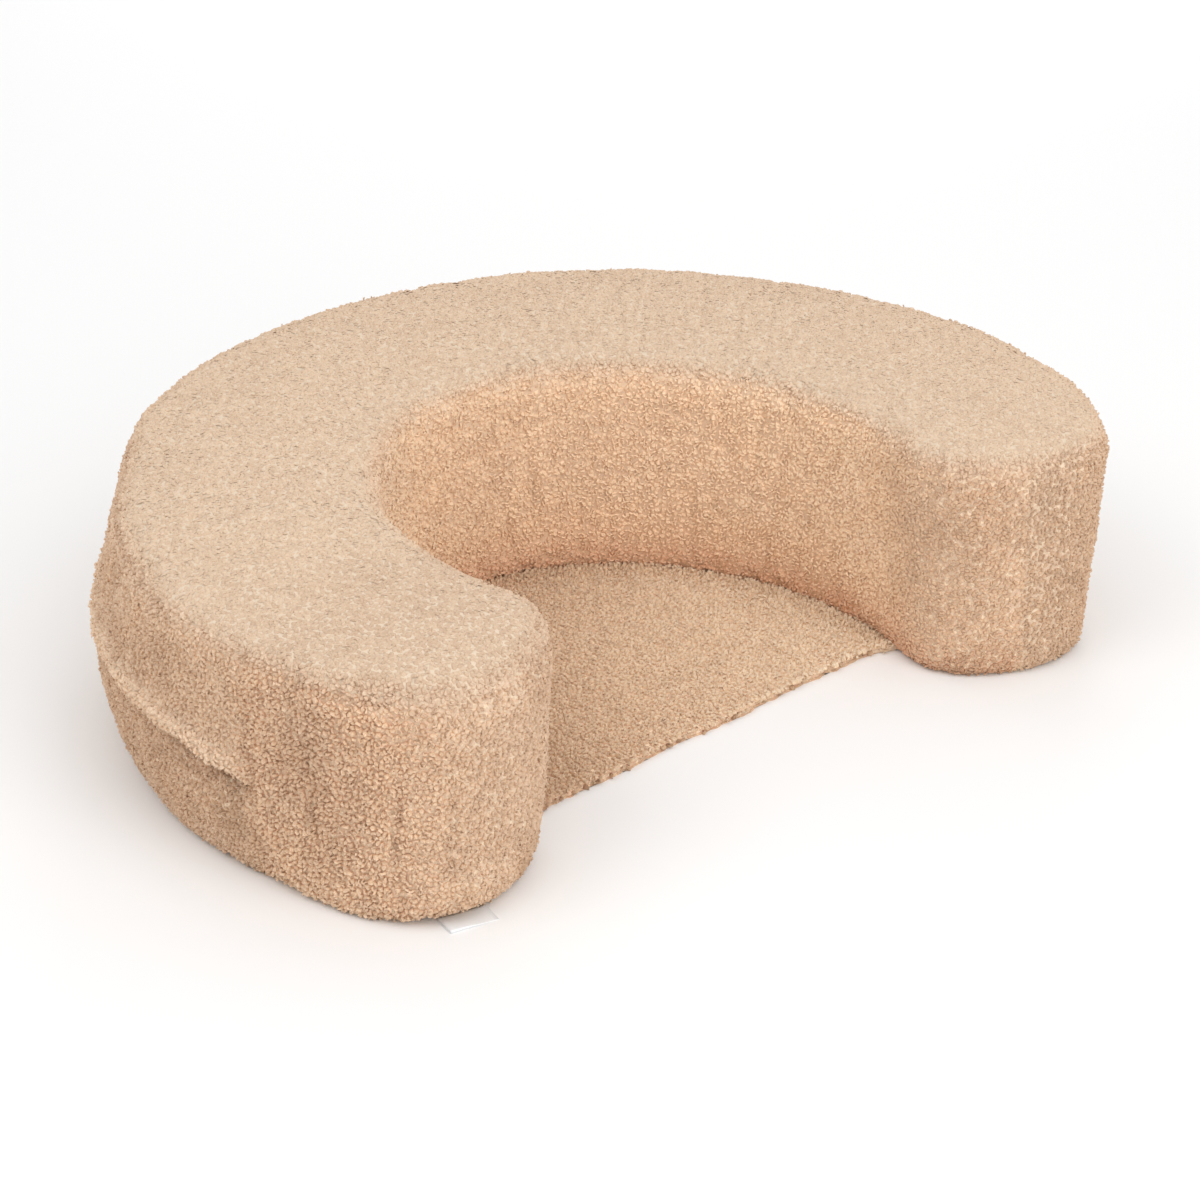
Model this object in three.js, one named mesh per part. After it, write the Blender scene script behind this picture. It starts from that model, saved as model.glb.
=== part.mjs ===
// A C-shaped ring pillow in curly pile cloth, with a flat mat of the same cloth between its arms.
// Millimetres, +Z up. The origin is the centre of the ring on the floor, and the arms open towards -Y.

import * as THREE from 'three';
import { ParametricGeometry } from 'three/addons/geometries/ParametricGeometry.js';
import { mergeVertices } from 'three/addons/utils/BufferGeometryUtils.js';

const DEG = Math.PI / 180;

// Plan of the ring. The outer edge is an ellipse about the origin, and the inner edge one nearer the front.
// Angles go clockwise from the back, as seen from above, so the left arm has the negative ones.
const OUTER_HALF_WIDTH = 327;
const OUTER_HALF_DEPTH = 319;
const INNER_HALF_WIDTH = 160;
const INNER_HALF_DEPTH = 185;
const INNER_CENTRE_Y = -38;
const ARM_ANGLE = 108;

// Heights of the filled ring
const TOP_EDGE_HEIGHT = 160;
const CROWN_RISE = 5;

// The rounded ends of the two arms: how long they are and over what turn they ease into the arms' edges.
// Turn is 0 at an end's outer side and 180 at its inner side.
const TIP_LENGTH_TO_HALF_WIDTH = 0.97;
const TIP_EASE_TURN = 70;

// Each end has its own soft top edge. The foot of the left one is pressed askew, where pull draws it in, and
// a low tuck turns its lowest edge up over the label.
const TIPS = {
  left: {
    side: -1,
    topRadius: 30,
    tuck: 24,
    foot: [
      { turn: 0, pull: 0 },
      { turn: 38, pull: -5 },
      { turn: 78, pull: -6 },
      { turn: 132, pull: 4.5 },
      { turn: 180, pull: 0 },
    ],
  },
  right: {
    side: 1,
    topRadius: 20,
    tuck: 0,
    foot: [
      { turn: 0, pull: 0 },
      { turn: 180, pull: 0 },
    ],
  },
};
const TUCK_TURN = 74;
const TUCK_SPREAD = 60;
const TUCK_HEIGHT = 16;
const PULL_HEIGHT = 60;

// The soft edges of the ring away from its ends. The top round stops short of level, where the crown goes on.
const TOP_RADIUS = 16;
const TOP_ROUND_END = 80;
const TOP_ROUND_STEPS = 5;

// The wall leans in towards the floor and its foot is rounded under. Inset is measured from the plan's edge.
const WALL_LEAN = 9;
const FOOT_INSET = 14;
const FOOT_RADIUS = 10;
const FOOT_ROWS = [0, 1.5, 3.2, 6, FOOT_RADIUS];
const WALL_ROWS = [20, 34, 46, 56, 64, 71, 77, 82, 88, 97, 109, 120];
const CROWN_ROWS = [0.14, 0.34, 0.6, 0.82, 1];

// How the loose cover changes the outer wall round the back: swell pushes the wall out at half height,
// draw pulls the top edge in and pull the foot, fold is how far the lip of the closing stands out, and
// hollow is how deep the wall is pressed in just under that lip.
const COVER = [
  { angle: -ARM_ANGLE, swell: 0, draw: 0, fold: 0, hollow: 0, pull: 0 },
  { angle: -101, swell: 2, draw: 0, fold: 0, hollow: 0.5, pull: 5 },
  { angle: -96, swell: 4, draw: 2, fold: 4, hollow: 7, pull: 3 },
  { angle: -86, swell: 6, draw: 5, fold: 5, hollow: 4, pull: 2 },
  { angle: -70, swell: 9, draw: 12, fold: 3.5, hollow: 1, pull: 4 },
  { angle: -52, swell: 9, draw: 17, fold: 2, hollow: 1, pull: 5 },
  { angle: -34, swell: 7, draw: 6, fold: 2, hollow: 2, pull: 1 },
  { angle: -12, swell: 5, draw: 1, fold: 3.5, hollow: 2, pull: 0 },
  { angle: 14, swell: 5, draw: 0, fold: 3, hollow: 3, pull: 1 },
  { angle: 38, swell: 6, draw: 0, fold: 4, hollow: 1, pull: 0 },
  { angle: 60, swell: 7, draw: 3, fold: 3.5, hollow: 2, pull: 2 },
  { angle: 82, swell: 5, draw: 2, fold: 4, hollow: 3, pull: 1 },
  { angle: 96, swell: 3, draw: 0, fold: 3, hollow: 5, pull: 0 },
  { angle: 101, swell: 1, draw: 0, fold: 0, hollow: 0, pull: 0 },
  { angle: ARM_ANGLE, swell: 0, draw: 0, fold: 0, hollow: 0, pull: 0 },
];
const FOLD_HEIGHT = 82;
const FOLD_HALF_HEIGHT = 14;
const FOLD_OVERHANG = 0.6;
const HOLLOW_HEIGHT = 62;
const HOLLOW_HALF_HEIGHT = 17;
const DRAW_START_HEIGHT = 40;

// Steps round the ring's plan
const ARC_STEPS = 60;
const TIP_STEPS = 14;

// The mat: two layers of pile cloth back to back, with its free front edge slightly askew and uneven.
// Its clearance is measured between the true curves, and the flat faces in between leave about 0.3 of it.
const CLEARANCE = 0.65;
const MAT_THICKNESS = 6;
const MAT_SOFT_EDGE = 1.5;
const MAT_FRONT_Y = -86.5;
const MAT_FRONT_SLOPE = 0.062;
const MAT_CORNER_FLARE = 4.5;
const MAT_FLARE_REACH = 34;
const MAT_FRONT_WAVE = 1.2;
const MAT_FRONT_WAVES = 3;
const MAT_FRONT_POINTS = 18;
const MAT_ARC_STEPS = 64;
const MAT_CORNER_PASSES = 20;
const MAT_EDGE_STEPS = 2;

// The label: a folded strip of thin cloth that lies on the floor, with its fold to the front
const LABEL_WIDTH = 31;
const LABEL_LAYER = 1;
const LABEL_SPREAD = 0.8;
const LABEL_LENGTH = 16.3;
const LABEL_FRONT = new THREE.Vector2(-244.5, -168);
const LABEL_TURN = -9.8;
const LABEL_FOLD_STEPS = 8;

function smooth(t) {
  const x = THREE.MathUtils.clamp(t, 0, 1);
  return x * x * (3 - 2 * x);
}

// A soft ridge of height 1 at zero that dies away at plus and minus 1
function ridge(t) {
  return Math.abs(t) < 1 ? (1 + Math.cos(Math.PI * t)) / 2 : 0;
}

// One column of a table at a place, eased between its rows. Places run along the key column.
function eased(table, key, place, column) {
  const next = Math.max(1, table.findIndex((row) => row[key] >= place));
  const a = table[next - 1];
  const b = table[next];
  return THREE.MathUtils.lerp(a[column], b[column], smooth((place - a[key]) / (b[key] - a[key])));
}

function cover(column, angle) {
  return eased(COVER, 'angle', angle, column);
}

function outerEdge(angle, inset) {
  const t = angle * DEG;
  const across = (OUTER_HALF_WIDTH - inset) * Math.sin(t);
  return new THREE.Vector2(across, (OUTER_HALF_DEPTH - inset) * Math.cos(t));
}

function innerEdge(angle, inset) {
  const t = angle * DEG;
  const across = (INNER_HALF_WIDTH + inset) * Math.sin(t);
  return new THREE.Vector2(across, INNER_CENTRE_Y + (INNER_HALF_DEPTH + inset) * Math.cos(t));
}

function middleLine(angle) {
  return outerEdge(angle, 0).lerp(innerEdge(angle, 0), 0.5);
}

// The way an edge runs at an arm's end, from its half width and depth
function runsOut(halfWidth, halfDepth, angle, side) {
  const t = angle * DEG;
  const heading = new THREE.Vector2(halfWidth * Math.cos(t), -halfDepth * Math.sin(t));
  return heading.normalize().multiplyScalar(side);
}

// A point of an arm's rounded end, which points straight out and eases into both edges where it joins them
function tipEdge(tip, turn, inset) {
  const angle = tip.side * ARM_ANGLE;
  const across = outerEdge(angle, 0).sub(innerEdge(angle, 0)).multiplyScalar(0.5);
  const halfWidth = across.length();
  across.divideScalar(halfWidth);
  const joins = (fromEdge) => 1 - smooth(fromEdge / TIP_EASE_TURN);
  const along = new THREE.Vector2(across.y, -across.x).multiplyScalar(tip.side);
  along.lerp(runsOut(OUTER_HALF_WIDTH, OUTER_HALF_DEPTH, angle, tip.side), joins(turn));
  along.lerp(runsOut(INNER_HALF_WIDTH, INNER_HALF_DEPTH, angle, tip.side), joins(180 - turn)).normalize();
  const sideways = Math.cos(turn * DEG) * (halfWidth - inset);
  const forwards = Math.sin(turn * DEG) * (halfWidth * TIP_LENGTH_TO_HALF_WIDTH - inset);
  return middleLine(angle).addScaledVector(across, sideways).addScaledVector(along, forwards);
}

// The places round the plan, anticlockwise from above: outer arc, left end, inner arc, right end.
// Each has its edge for any inset, the middle line's point beside it, the radius of its top edge, and how far
// its foot is pulled in and tucked up.
function placeAt(step) {
  const onArc = (angle, outer, edge) => ({
    angle,
    outer,
    edge,
    middle: middleLine(angle),
    topRadius: TOP_RADIUS,
    pull: outer ? cover('pull', angle) : 0,
    tuck: 0,
  });
  const onTip = (tip, turn) => ({
    edge: (inset) => tipEdge(tip, turn, inset),
    middle: middleLine(tip.side * ARM_ANGLE),
    topRadius: THREE.MathUtils.lerp(TOP_RADIUS, tip.topRadius, smooth(Math.sin(turn * DEG))),
    pull: eased(tip.foot, 'turn', turn, 'pull'),
    tuck: tip.tuck * ridge((turn - TUCK_TURN) / TUCK_SPREAD),
  });
  if (step <= ARC_STEPS) {
    const angle = ARM_ANGLE - (2 * ARM_ANGLE * step) / ARC_STEPS;
    return onArc(angle, true, (inset) => outerEdge(angle, inset));
  }
  const inLeftTip = step - ARC_STEPS;
  if (inLeftTip <= TIP_STEPS) return onTip(TIPS.left, (180 * inLeftTip) / TIP_STEPS);
  const inInnerArc = inLeftTip - TIP_STEPS;
  if (inInnerArc <= ARC_STEPS) {
    const angle = (2 * ARM_ANGLE * inInnerArc) / ARC_STEPS - ARM_ANGLE;
    return onArc(angle, false, (inset) => innerEdge(angle, inset));
  }
  return onTip(TIPS.right, 180 - (180 * (inInnerArc - ARC_STEPS)) / TIP_STEPS);
}

// A curve of height 1 on the floor that dies away at a height
function nearFloor(height, reach) {
  return Math.max(0, 1 - height / reach) ** 2;
}

// Inset of the bare wall at a height: a straight lean, with the foot rounded under
function wallInset(height) {
  const lean = WALL_LEAN * (1 - height / TOP_EDGE_HEIGHT);
  return lean + (FOOT_INSET - WALL_LEAN) * nearFloor(height, FOOT_RADIUS);
}

// What the cover adds to the outer wall's inset at a height
function coverInset(angle, height) {
  const swell = cover('swell', angle) * Math.sin((Math.PI * height) / TOP_EDGE_HEIGHT);
  const upTheDraw = (height - DRAW_START_HEIGHT) / (TOP_EDGE_HEIGHT - DRAW_START_HEIGHT);
  const draw = cover('draw', angle) * smooth(upTheDraw);
  const above = (height - FOLD_HEIGHT) / FOLD_HALF_HEIGHT;
  const lip = ridge(above < 0 ? above / FOLD_OVERHANG : above);
  const hollow = ridge((height - HOLLOW_HEIGHT) / HOLLOW_HALF_HEIGHT);
  return draw - swell - cover('fold', angle) * lip + cover('hollow', angle) * hollow;
}

// The rows of the ring's section at one place, from the middle of the base up the wall to the middle of the
// crown. Gather moves a row from the edge towards the middle line.
function sectionAt(place) {
  const insetAt = (height) => {
    const pulled = place.pull * nearFloor(height, PULL_HEIGHT);
    const tucked = place.tuck * nearFloor(height, TUCK_HEIGHT);
    return wallInset(height) + pulled + tucked + (place.outer ? coverInset(place.angle, height) : 0);
  };
  const rows = [{ height: 0, inset: FOOT_INSET, gather: 1 }];
  for (const height of [...FOOT_ROWS, ...WALL_ROWS]) rows.push({ height, inset: insetAt(height), gather: 0 });
  let edge;
  for (let step = 0; step <= TOP_ROUND_STEPS; step++) {
    const tilt = ((TOP_ROUND_END * step) / TOP_ROUND_STEPS) * DEG;
    const height = TOP_EDGE_HEIGHT - place.topRadius * (1 - Math.sin(tilt));
    edge = { height, inset: insetAt(height) + place.topRadius * (1 - Math.cos(tilt)), gather: 0 };
    rows.push(edge);
  }
  const rise = TOP_EDGE_HEIGHT + CROWN_RISE - edge.height;
  for (const gather of CROWN_ROWS) {
    rows.push({ height: edge.height + rise * (1 - (1 - gather) ** 2), inset: edge.inset, gather });
  }
  return rows;
}

// Joins what meets, and drops the triangles that have closed up to nothing
function closedSolid(geometry) {
  geometry.deleteAttribute('normal');
  geometry.deleteAttribute('uv');
  const solid = mergeVertices(geometry, 1e-3);
  const corners = solid.index.array;
  const kept = [];
  for (let i = 0; i < corners.length; i += 3) {
    const [a, b, c] = corners.slice(i, i + 3);
    if (a !== b && b !== c && c !== a) kept.push(a, b, c);
  }
  solid.setIndex(kept);
  solid.computeVertexNormals();
  return solid;
}

function ringCushion() {
  const places = 2 * (ARC_STEPS + TIP_STEPS);
  const rows = sectionAt(placeAt(0)).length - 1;
  const surface = (u, v, target) => {
    const place = placeAt((u * places) % places);
    const section = sectionAt(place);
    const row = section[Math.round(v * rows)];
    const point = place.edge(row.inset).lerp(place.middle, row.gather);
    target.set(point.x, point.y, row.height);
  };
  return closedSolid(new ParametricGeometry(surface, places, rows));
}

function seatMat() {
  const grow = wallInset(MAT_THICKNESS - MAT_SOFT_EDGE) - CLEARANCE - MAT_SOFT_EDGE;
  const halfWidth = INNER_HALF_WIDTH + grow;
  const flare = (x) => {
    const intoCorner = (Math.abs(x) - halfWidth + MAT_FLARE_REACH) / MAT_FLARE_REACH;
    return MAT_CORNER_FLARE * smooth(intoCorner);
  };
  const frontY = (x) => MAT_FRONT_Y + MAT_FRONT_SLOPE * x + MAT_SOFT_EDGE - flare(x);
  const meets = (side) => {
    let angle = side * ARM_ANGLE;
    for (let pass = 0; pass < MAT_CORNER_PASSES; pass++) {
      const rest = (frontY(innerEdge(angle, grow).x) - INNER_CENTRE_Y) / (INNER_HALF_DEPTH + grow);
      angle = (side * Math.acos(rest)) / DEG;
    }
    return angle;
  };
  const right = meets(1);
  const left = meets(-1);
  const outline = new THREE.Shape();
  for (let step = 0; step <= MAT_ARC_STEPS; step++) {
    const point = innerEdge(THREE.MathUtils.lerp(right, left, step / MAT_ARC_STEPS), grow);
    if (step === 0) outline.moveTo(point.x, point.y);
    else outline.lineTo(point.x, point.y);
  }
  const leftX = innerEdge(left, grow).x;
  const rightX = innerEdge(right, grow).x;
  for (let step = 1; step < MAT_FRONT_POINTS; step++) {
    const along = step / MAT_FRONT_POINTS;
    const x = THREE.MathUtils.lerp(leftX, rightX, along);
    const wave = MAT_FRONT_WAVE * Math.sin(2 * Math.PI * MAT_FRONT_WAVES * along) * Math.sin(Math.PI * along);
    outline.lineTo(x, frontY(x) + wave);
  }
  const geometry = new THREE.ExtrudeGeometry(outline, {
    depth: MAT_THICKNESS - 2 * MAT_SOFT_EDGE,
    bevelThickness: MAT_SOFT_EDGE,
    bevelSize: MAT_SOFT_EDGE,
    bevelSegments: MAT_EDGE_STEPS,
  });
  geometry.translate(0, 0, MAT_SOFT_EDGE);
  return closedSolid(geometry);
}

// The section of the label: x runs back from the fold, y up
function sideLabel() {
  const height = 2 * LABEL_LAYER + LABEL_SPREAD;
  const outerRadius = height / 2;
  const innerRadius = LABEL_SPREAD / 2;
  const section = new THREE.Shape();
  section.moveTo(LABEL_LENGTH, 0);
  section.lineTo(LABEL_LENGTH, LABEL_LAYER);
  section.absarc(outerRadius, outerRadius, innerRadius, -Math.PI / 2, Math.PI / 2, true);
  section.lineTo(LABEL_LENGTH, LABEL_LAYER + LABEL_SPREAD);
  section.lineTo(LABEL_LENGTH, height);
  section.absarc(outerRadius, outerRadius, outerRadius, Math.PI / 2, (3 * Math.PI) / 2, false);
  const geometry = new THREE.ExtrudeGeometry(section, {
    depth: LABEL_WIDTH,
    bevelEnabled: false,
    curveSegments: LABEL_FOLD_STEPS,
  });
  // depth runs along X, the section's x along Y and its y along Z
  geometry.translate(0, 0, -LABEL_WIDTH / 2);
  geometry.applyMatrix4(new THREE.Matrix4().makeBasis(
    new THREE.Vector3(0, 1, 0),
    new THREE.Vector3(0, 0, 1),
    new THREE.Vector3(1, 0, 0),
  ));
  return closedSolid(geometry);
}

function clothMaterial(colour, roughness) {
  return new THREE.MeshStandardMaterial({ color: colour, roughness, metalness: 0 });
}

function named(name, geometry, material) {
  const mesh = new THREE.Mesh(geometry, material);
  mesh.name = name;
  return mesh;
}

const pileCloth = 0xe1c6ab;
const whiteTape = 0xf1f3f5;

const pillow = new THREE.Group();
pillow.add(named('ring_cushion', ringCushion(), clothMaterial(pileCloth, 1)));
pillow.add(named('seat_mat', seatMat(), clothMaterial(pileCloth, 1)));

const label = named('side_label', sideLabel(), clothMaterial(whiteTape, 0.55));
label.position.set(LABEL_FRONT.x, LABEL_FRONT.y, 0);
label.rotation.z = LABEL_TURN * DEG;
pillow.add(label);

export default pillow;
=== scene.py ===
# A C-shaped ring pillow in curly pile cloth, with a seat mat of the same cloth and a bare folded label.
# Metres, +Z up. The origin is the ring's centre on the floor, and the arms open towards -Y.

import math

import bmesh
import bpy
import numpy as np
from bpy.props import FloatProperty, FloatVectorProperty, IntProperty, PointerProperty
from mathutils import Matrix, Vector, noise


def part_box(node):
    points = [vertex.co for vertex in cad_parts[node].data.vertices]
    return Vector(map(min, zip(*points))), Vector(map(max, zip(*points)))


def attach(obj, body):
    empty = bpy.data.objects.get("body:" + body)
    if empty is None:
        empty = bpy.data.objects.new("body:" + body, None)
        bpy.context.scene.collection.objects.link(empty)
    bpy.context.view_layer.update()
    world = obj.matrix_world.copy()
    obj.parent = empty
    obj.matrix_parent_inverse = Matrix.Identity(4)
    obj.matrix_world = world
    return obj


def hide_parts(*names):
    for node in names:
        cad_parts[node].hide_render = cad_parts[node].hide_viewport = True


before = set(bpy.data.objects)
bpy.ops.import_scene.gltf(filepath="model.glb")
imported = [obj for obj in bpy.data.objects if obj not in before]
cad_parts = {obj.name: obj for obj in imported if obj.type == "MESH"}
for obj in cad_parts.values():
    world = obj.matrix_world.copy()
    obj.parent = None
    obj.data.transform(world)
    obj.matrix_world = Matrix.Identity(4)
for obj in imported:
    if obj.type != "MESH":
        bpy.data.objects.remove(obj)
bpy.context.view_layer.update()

bl_info = {
    "name": "Ring Pillow",
    "version": (1, 0, 0),
    "blender": (4, 5, 0),
    "location": "View3D > Sidebar > Ring Pillow",
    "description": "Dresses a ring pillow in curly pile cloth, with its seat mat and label",
    "category": "Add Mesh",
}

MM = 0.001
MAT_LOW, MAT_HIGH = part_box("seat_mat")


def number(name, description, default, **options):
    return FloatProperty(name=name, description=description, default=default, **options)


def metres(name, description, default, low=0.0, high=2.0):
    return number(name, description, default, min=low, max=high, unit="LENGTH", precision=5)


def mm(name, description, default):
    return metres(name, description, default * MM)


def degrees(name, description, default):
    return number(name, description, math.radians(default), subtype="ANGLE", unit="ROTATION")


def share(name, description, default):
    return number(name, description, default, min=0.0, max=1.0, subtype="FACTOR")


def count(name, description, default, low, high):
    return IntProperty(name=name, description=description, default=default, min=low, max=high)


def colour(name, description, default):
    options = {"min": 0.0, "max": 1.0, "size": 3, "subtype": "COLOR"}
    return FloatVectorProperty(name=name, description=description, default=default, **options)


class RingSizes(bpy.types.PropertyGroup):
    """Plan of the ring and the way its cover sits on the filling"""

    outer_half_width: mm("Outer half width", "Half the ring's width at its plan's edge", 327)
    outer_half_depth: mm("Outer half depth", "The outer edge's reach to the back", 319)
    inner_half_width: mm("Inner half width", "Half the seat's width", 160)
    inner_half_depth: mm("Inner half depth", "The inner edge's reach back from its centre", 185)
    inner_centre_y: metres("Inner centre", "Y of the inner edge's centre", -38 * MM, -1.0, 1.0)
    arm_angle: degrees("Arm angle", "Where the arms' rounded tips start, from the back", 108)
    voxel: mm("Cloth grid", "Grid of the cover before its filling swells it", 6)
    swell: mm("Swell", "How far the filling presses the cover out", 0.9)
    most_swell: mm("Most swell", "Most that a point of the cover may move", 4.0)
    unevenness: mm("Unevenness", "Height of the cover's slow waves", 0.9)
    panel_seam: degrees("Panel seam", "Where the outer wall's panels are sewn, from the back", 100.5)
    panel_seam_depth: mm("Panel seam depth", "How deep it pulls the cover in", 1.8)
    top_seam: mm("Top seam", "Height of the seam between the top and the walls", 149)
    top_seam_drop: mm("Top seam drop", "How much lower it is round the soft left end", 6)
    top_seam_depth: mm("Top seam depth", "How deep it pulls the cover in", 1.5)
    seam_width: mm("Seam width", "Half the width of the dip along a seam", 3.5)
    fold_height: mm("Fold height", "Height of the fold's crest on the outer wall", 83)
    fold_crest: mm("Fold crest", "How far the fold's crest stands out", 3.4)
    fold_width: mm("Fold width", "Half the width of the fold's crest", 8)
    fold_crease: mm("Fold crease", "How deep the crease below the fold is", 3.4)
    foot_tuck: mm("Foot tuck", "How far the right arm's foot is drawn in", 3.5)


class PileSizes(bpy.types.PropertyGroup):
    """The short curly pile"""

    height: mm("Height", "How far the curls stand on their cloth", 2.4)
    brushed_height: mm("Brushed height", "How far they stand on the flat top", 1.5)
    reach: share("Reach", "Height of a common curl, as a share of the tallest", 0.7)
    pitch: mm("Pitch", "Least distance between the middles of two curls", 2.56)
    width: mm("Width", "Width of a curl at its foot", 4.2)
    loop: share("Loop", "Width of a curl's loop, as a share of its foot", 0.56)
    hollow: mm("Hollow", "Depth of the hollow inside a curl's loop", 0.7)
    shade_inside: share("Inside", "How pale the hollow is, as a share of its height", 0.3)
    sides: count("Sides", "Sides of a curl", 4, 4, 12)
    kinds: count("Kinds", "Different curls and strands that are mixed", 12, 1, 16)
    uneven: share("Unevenness", "How much the curls' points stray", 0.24)
    strand: mm("Strand", "Thickness of a loose strand that lies over the curls", 2.0)
    strand_step: mm("Strand step", "Length of a strand between two bends", 1.8)
    strand_bends: count("Strand bends", "Bends along a strand", 2, 2, 8)
    taper: share("Taper", "Thickness left after each bend of a strand", 0.9)
    tilt: degrees("Tilt", "Most that a curl leans from the cloth's upright", 15)
    clear: mm("Clear", "Lowest that a curl is rooted above the floor", 1.3)
    pressed: mm("Pressed", "Lowest that a curl reaches above the floor", 0.15)
    seed: IntProperty(name="Seed", description="Start of the random numbers", default=11)


class ClothColours(bpy.types.PropertyGroup):
    """Colours of the pile cloth and of the label's tape"""

    # Painted sheen: the flat top's pile is paler and greyer than the walls'
    brushed_sheen: colour("Brushed", "Brushed pile on the flat top", (0.85, 0.705, 0.545))
    # Painted highlight and shade along each curl: paler at its tip, darker and redder down to its root,
    # and darkest deep, where cloth lies against cloth
    tip: colour("Curl tip", "Pale crests of the curls", (0.97, 0.81, 0.64))
    middle: colour("Curl middle", "Body of the curls", (0.95, 0.74, 0.53))
    root: colour("Curl root", "Shaded foot of the curls", (0.84, 0.57, 0.40))
    deep: colour("Deep", "Pile where cloth lies against cloth", (0.80, 0.46, 0.28))
    backing: colour("Backing", "Knitted cloth under the pile", (0.66, 0.47, 0.32))
    # Painted bounce light: the backing turns to this where its painted shade is pale, on the inner wall
    warm_backing: colour("Warm backing", "The same cloth round the seat", (0.87, 0.60, 0.40))
    # Painted light: the mat's pile is made greyer for the pale floor's light on it, not for wear
    mat_light_tint: colour("Mat tint", "How much greyer the mat's worn pile is", (0.95, 0.99, 1.0))
    tape: colour("Tape", "The label's bare tape", (0.95, 0.965, 0.98))


class MatSizes(bpy.types.PropertyGroup):
    """The flat seat mat between the arms"""

    cloth: mm("Cloth", "Thickness of the mat's cloth without its pile", 4.4)
    under_ring: mm("Under the ring", "How far the cloth runs under the ring's foot", 3.6)
    front_pile: mm("Front pile", "How far the pile stands out at the front edge", 2.6)
    grid: mm("Grid", "Width of the cloth's squares", 10)
    waves: mm("Waves", "Height of the cloth's slow waves", 0.5)
    front: mm("Front strip", "Width of the strip along the free front edge", 28)
    tuft: mm("Tuft", "Width of a tuft at the front edge", 4.5)
    tuft_reach: mm("Tuft reach", "How far the tufts at the front edge stand out", 2.3)


class LabelSizes(bpy.types.PropertyGroup):
    """The folded label under the left arm"""

    width: mm("Width", "Width of the tape", 31)
    length: mm("Length", "How far the folded tape shows", 16.3)
    layer: mm("Thickness", "Thickness of one layer of the tape", 0.35)
    fold: mm("Fold", "Radius of the fold where it stands open, at its left end", 1.0)
    pressed: share("Pressed", "Height of the fold where it is pressed flat, as a share", 0.36)
    front_x: metres("Fold X", "Middle of the fold on X", -244.5 * MM, -1.0, 1.0)
    front_y: metres("Fold Y", "Middle of the fold on Y", -168 * MM, -1.0, 1.0)
    turn: degrees("Turn", "How far the label is turned from facing -Y", -9.8)


class StudioSizes(bpy.types.PropertyGroup):
    """Floor, light and camera"""

    azimuth: degrees("Azimuth", "The camera's direction round the ring", -39.52)
    elevation: degrees("Elevation", "The camera's height above the floor, as an angle", 27.59)
    distance: metres("Distance", "From the camera to what it looks at", 2.26335, 0.0, 10.0)
    target_x: metres("Target X", "The point that the camera looks at, on X", 0.06418, -1.0, 1.0)
    target_y: metres("Target Y", "The point that the camera looks at, on Y", 0.09433, -1.0, 1.0)
    lens: number("Lens", "Focal length in mm for a sensor 36 mm wide", 101.2, min=10, max=300)
    room: number("Room light", "Strength of the even light", 0.68, min=0)
    light: number("Light", "Factor on every soft light", 1.0, min=0)
    light_size: metres("Light size", "Diameter of each soft light", 1.6, 0.0, 10.0)
    light_distance: metres("Light distance", "From the ring to each soft light", 2.6, 0.0, 10.0)
    floor: colour("Floor", "The plain pale floor", (0.93, 0.93, 0.93))


def settings():
    return bpy.context.scene.ring_pillow


def new_piece(name, mesh):
    piece = bpy.data.objects.new(name, mesh)
    bpy.context.scene.collection.objects.link(piece)
    return piece


def mesh_from(shape, name):
    mesh = bpy.data.meshes.new(name)
    shape.to_mesh(mesh)
    shape.free()
    return mesh


def vectors(parts, name):
    """A vector of each point or face of a mesh, such as its place or the way that it faces"""
    flat = np.empty(len(parts) * 3, np.float32)
    parts.foreach_get(name, flat)
    return flat.reshape(-1, 3).astype(float)


def coordinates(mesh):
    return vectors(mesh.vertices, "co")


def normals(mesh):
    return vectors(mesh.vertices, "normal")


def set_coordinates(mesh, points):
    mesh.vertices.foreach_set("co", points.astype(np.float32).ravel())
    mesh.update()


def baked(piece):
    """Swaps the piece's mesh for what its modifiers make of it"""
    graph = bpy.context.evaluated_depsgraph_get()
    graph.update()
    mesh = bpy.data.meshes.new_from_object(piece.evaluated_get(graph))
    piece.modifiers.clear()
    old = piece.data
    piece.data = mesh
    if old.users == 0:
        bpy.data.meshes.remove(old)
    mesh.name = piece.name
    return piece


def merged_copy(node, name):
    """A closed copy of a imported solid, which is stored as loose triangles"""
    shape = bmesh.new()
    shape.from_mesh(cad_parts[node].data)
    bmesh.ops.remove_doubles(shape, verts=shape.verts, dist=0.01 * MM)
    return new_piece(name, mesh_from(shape, name))


def bump(t):
    """1 at zero, and 0 from plus and minus 1 on"""
    return np.where(np.abs(t) < 1, (1 + np.cos(np.pi * np.clip(t, -1, 1))) / 2, 0)


def rising(value, start, end):
    """0 at the start, 1 at the end and straight between them; the end may be the lower of the two"""
    return np.clip((value - start) / (end - start), 0, 1)


def along(turn, table):
    """What a table of angles in degrees says at each angle, straight between its rows"""
    return np.interp(turn, list(table), list(table.values()))


# The slow waves in the cloth's shape and tone
WAVES = {
    "cover_broad": {"wavelength": 55 * MM, "seed": 1},
    "cover_fine": {"wavelength": 24 * MM, "seed": 2},
    "tone_fine": {"wavelength": 16 * MM, "seed": 4},
    "tone_broad": {"wavelength": 45 * MM, "seed": 5},
    "mat_height": {"wavelength": 50 * MM, "seed": 6},
    "fold_line": {"wavelength": 20 * MM, "seed": 8},
    "crests": {"wavelength": 30 * MM, "seed": 9},
    "fold_lumps": {"wavelength": 12 * MM, "seed": 10},
}


def slow_noise(points, wavelength, seed):
    offset = Vector((seed * 7.3, seed * 3.1, seed * 5.7))
    return np.array([noise.noise(Vector(p) / wavelength + offset) for p in points])


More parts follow.
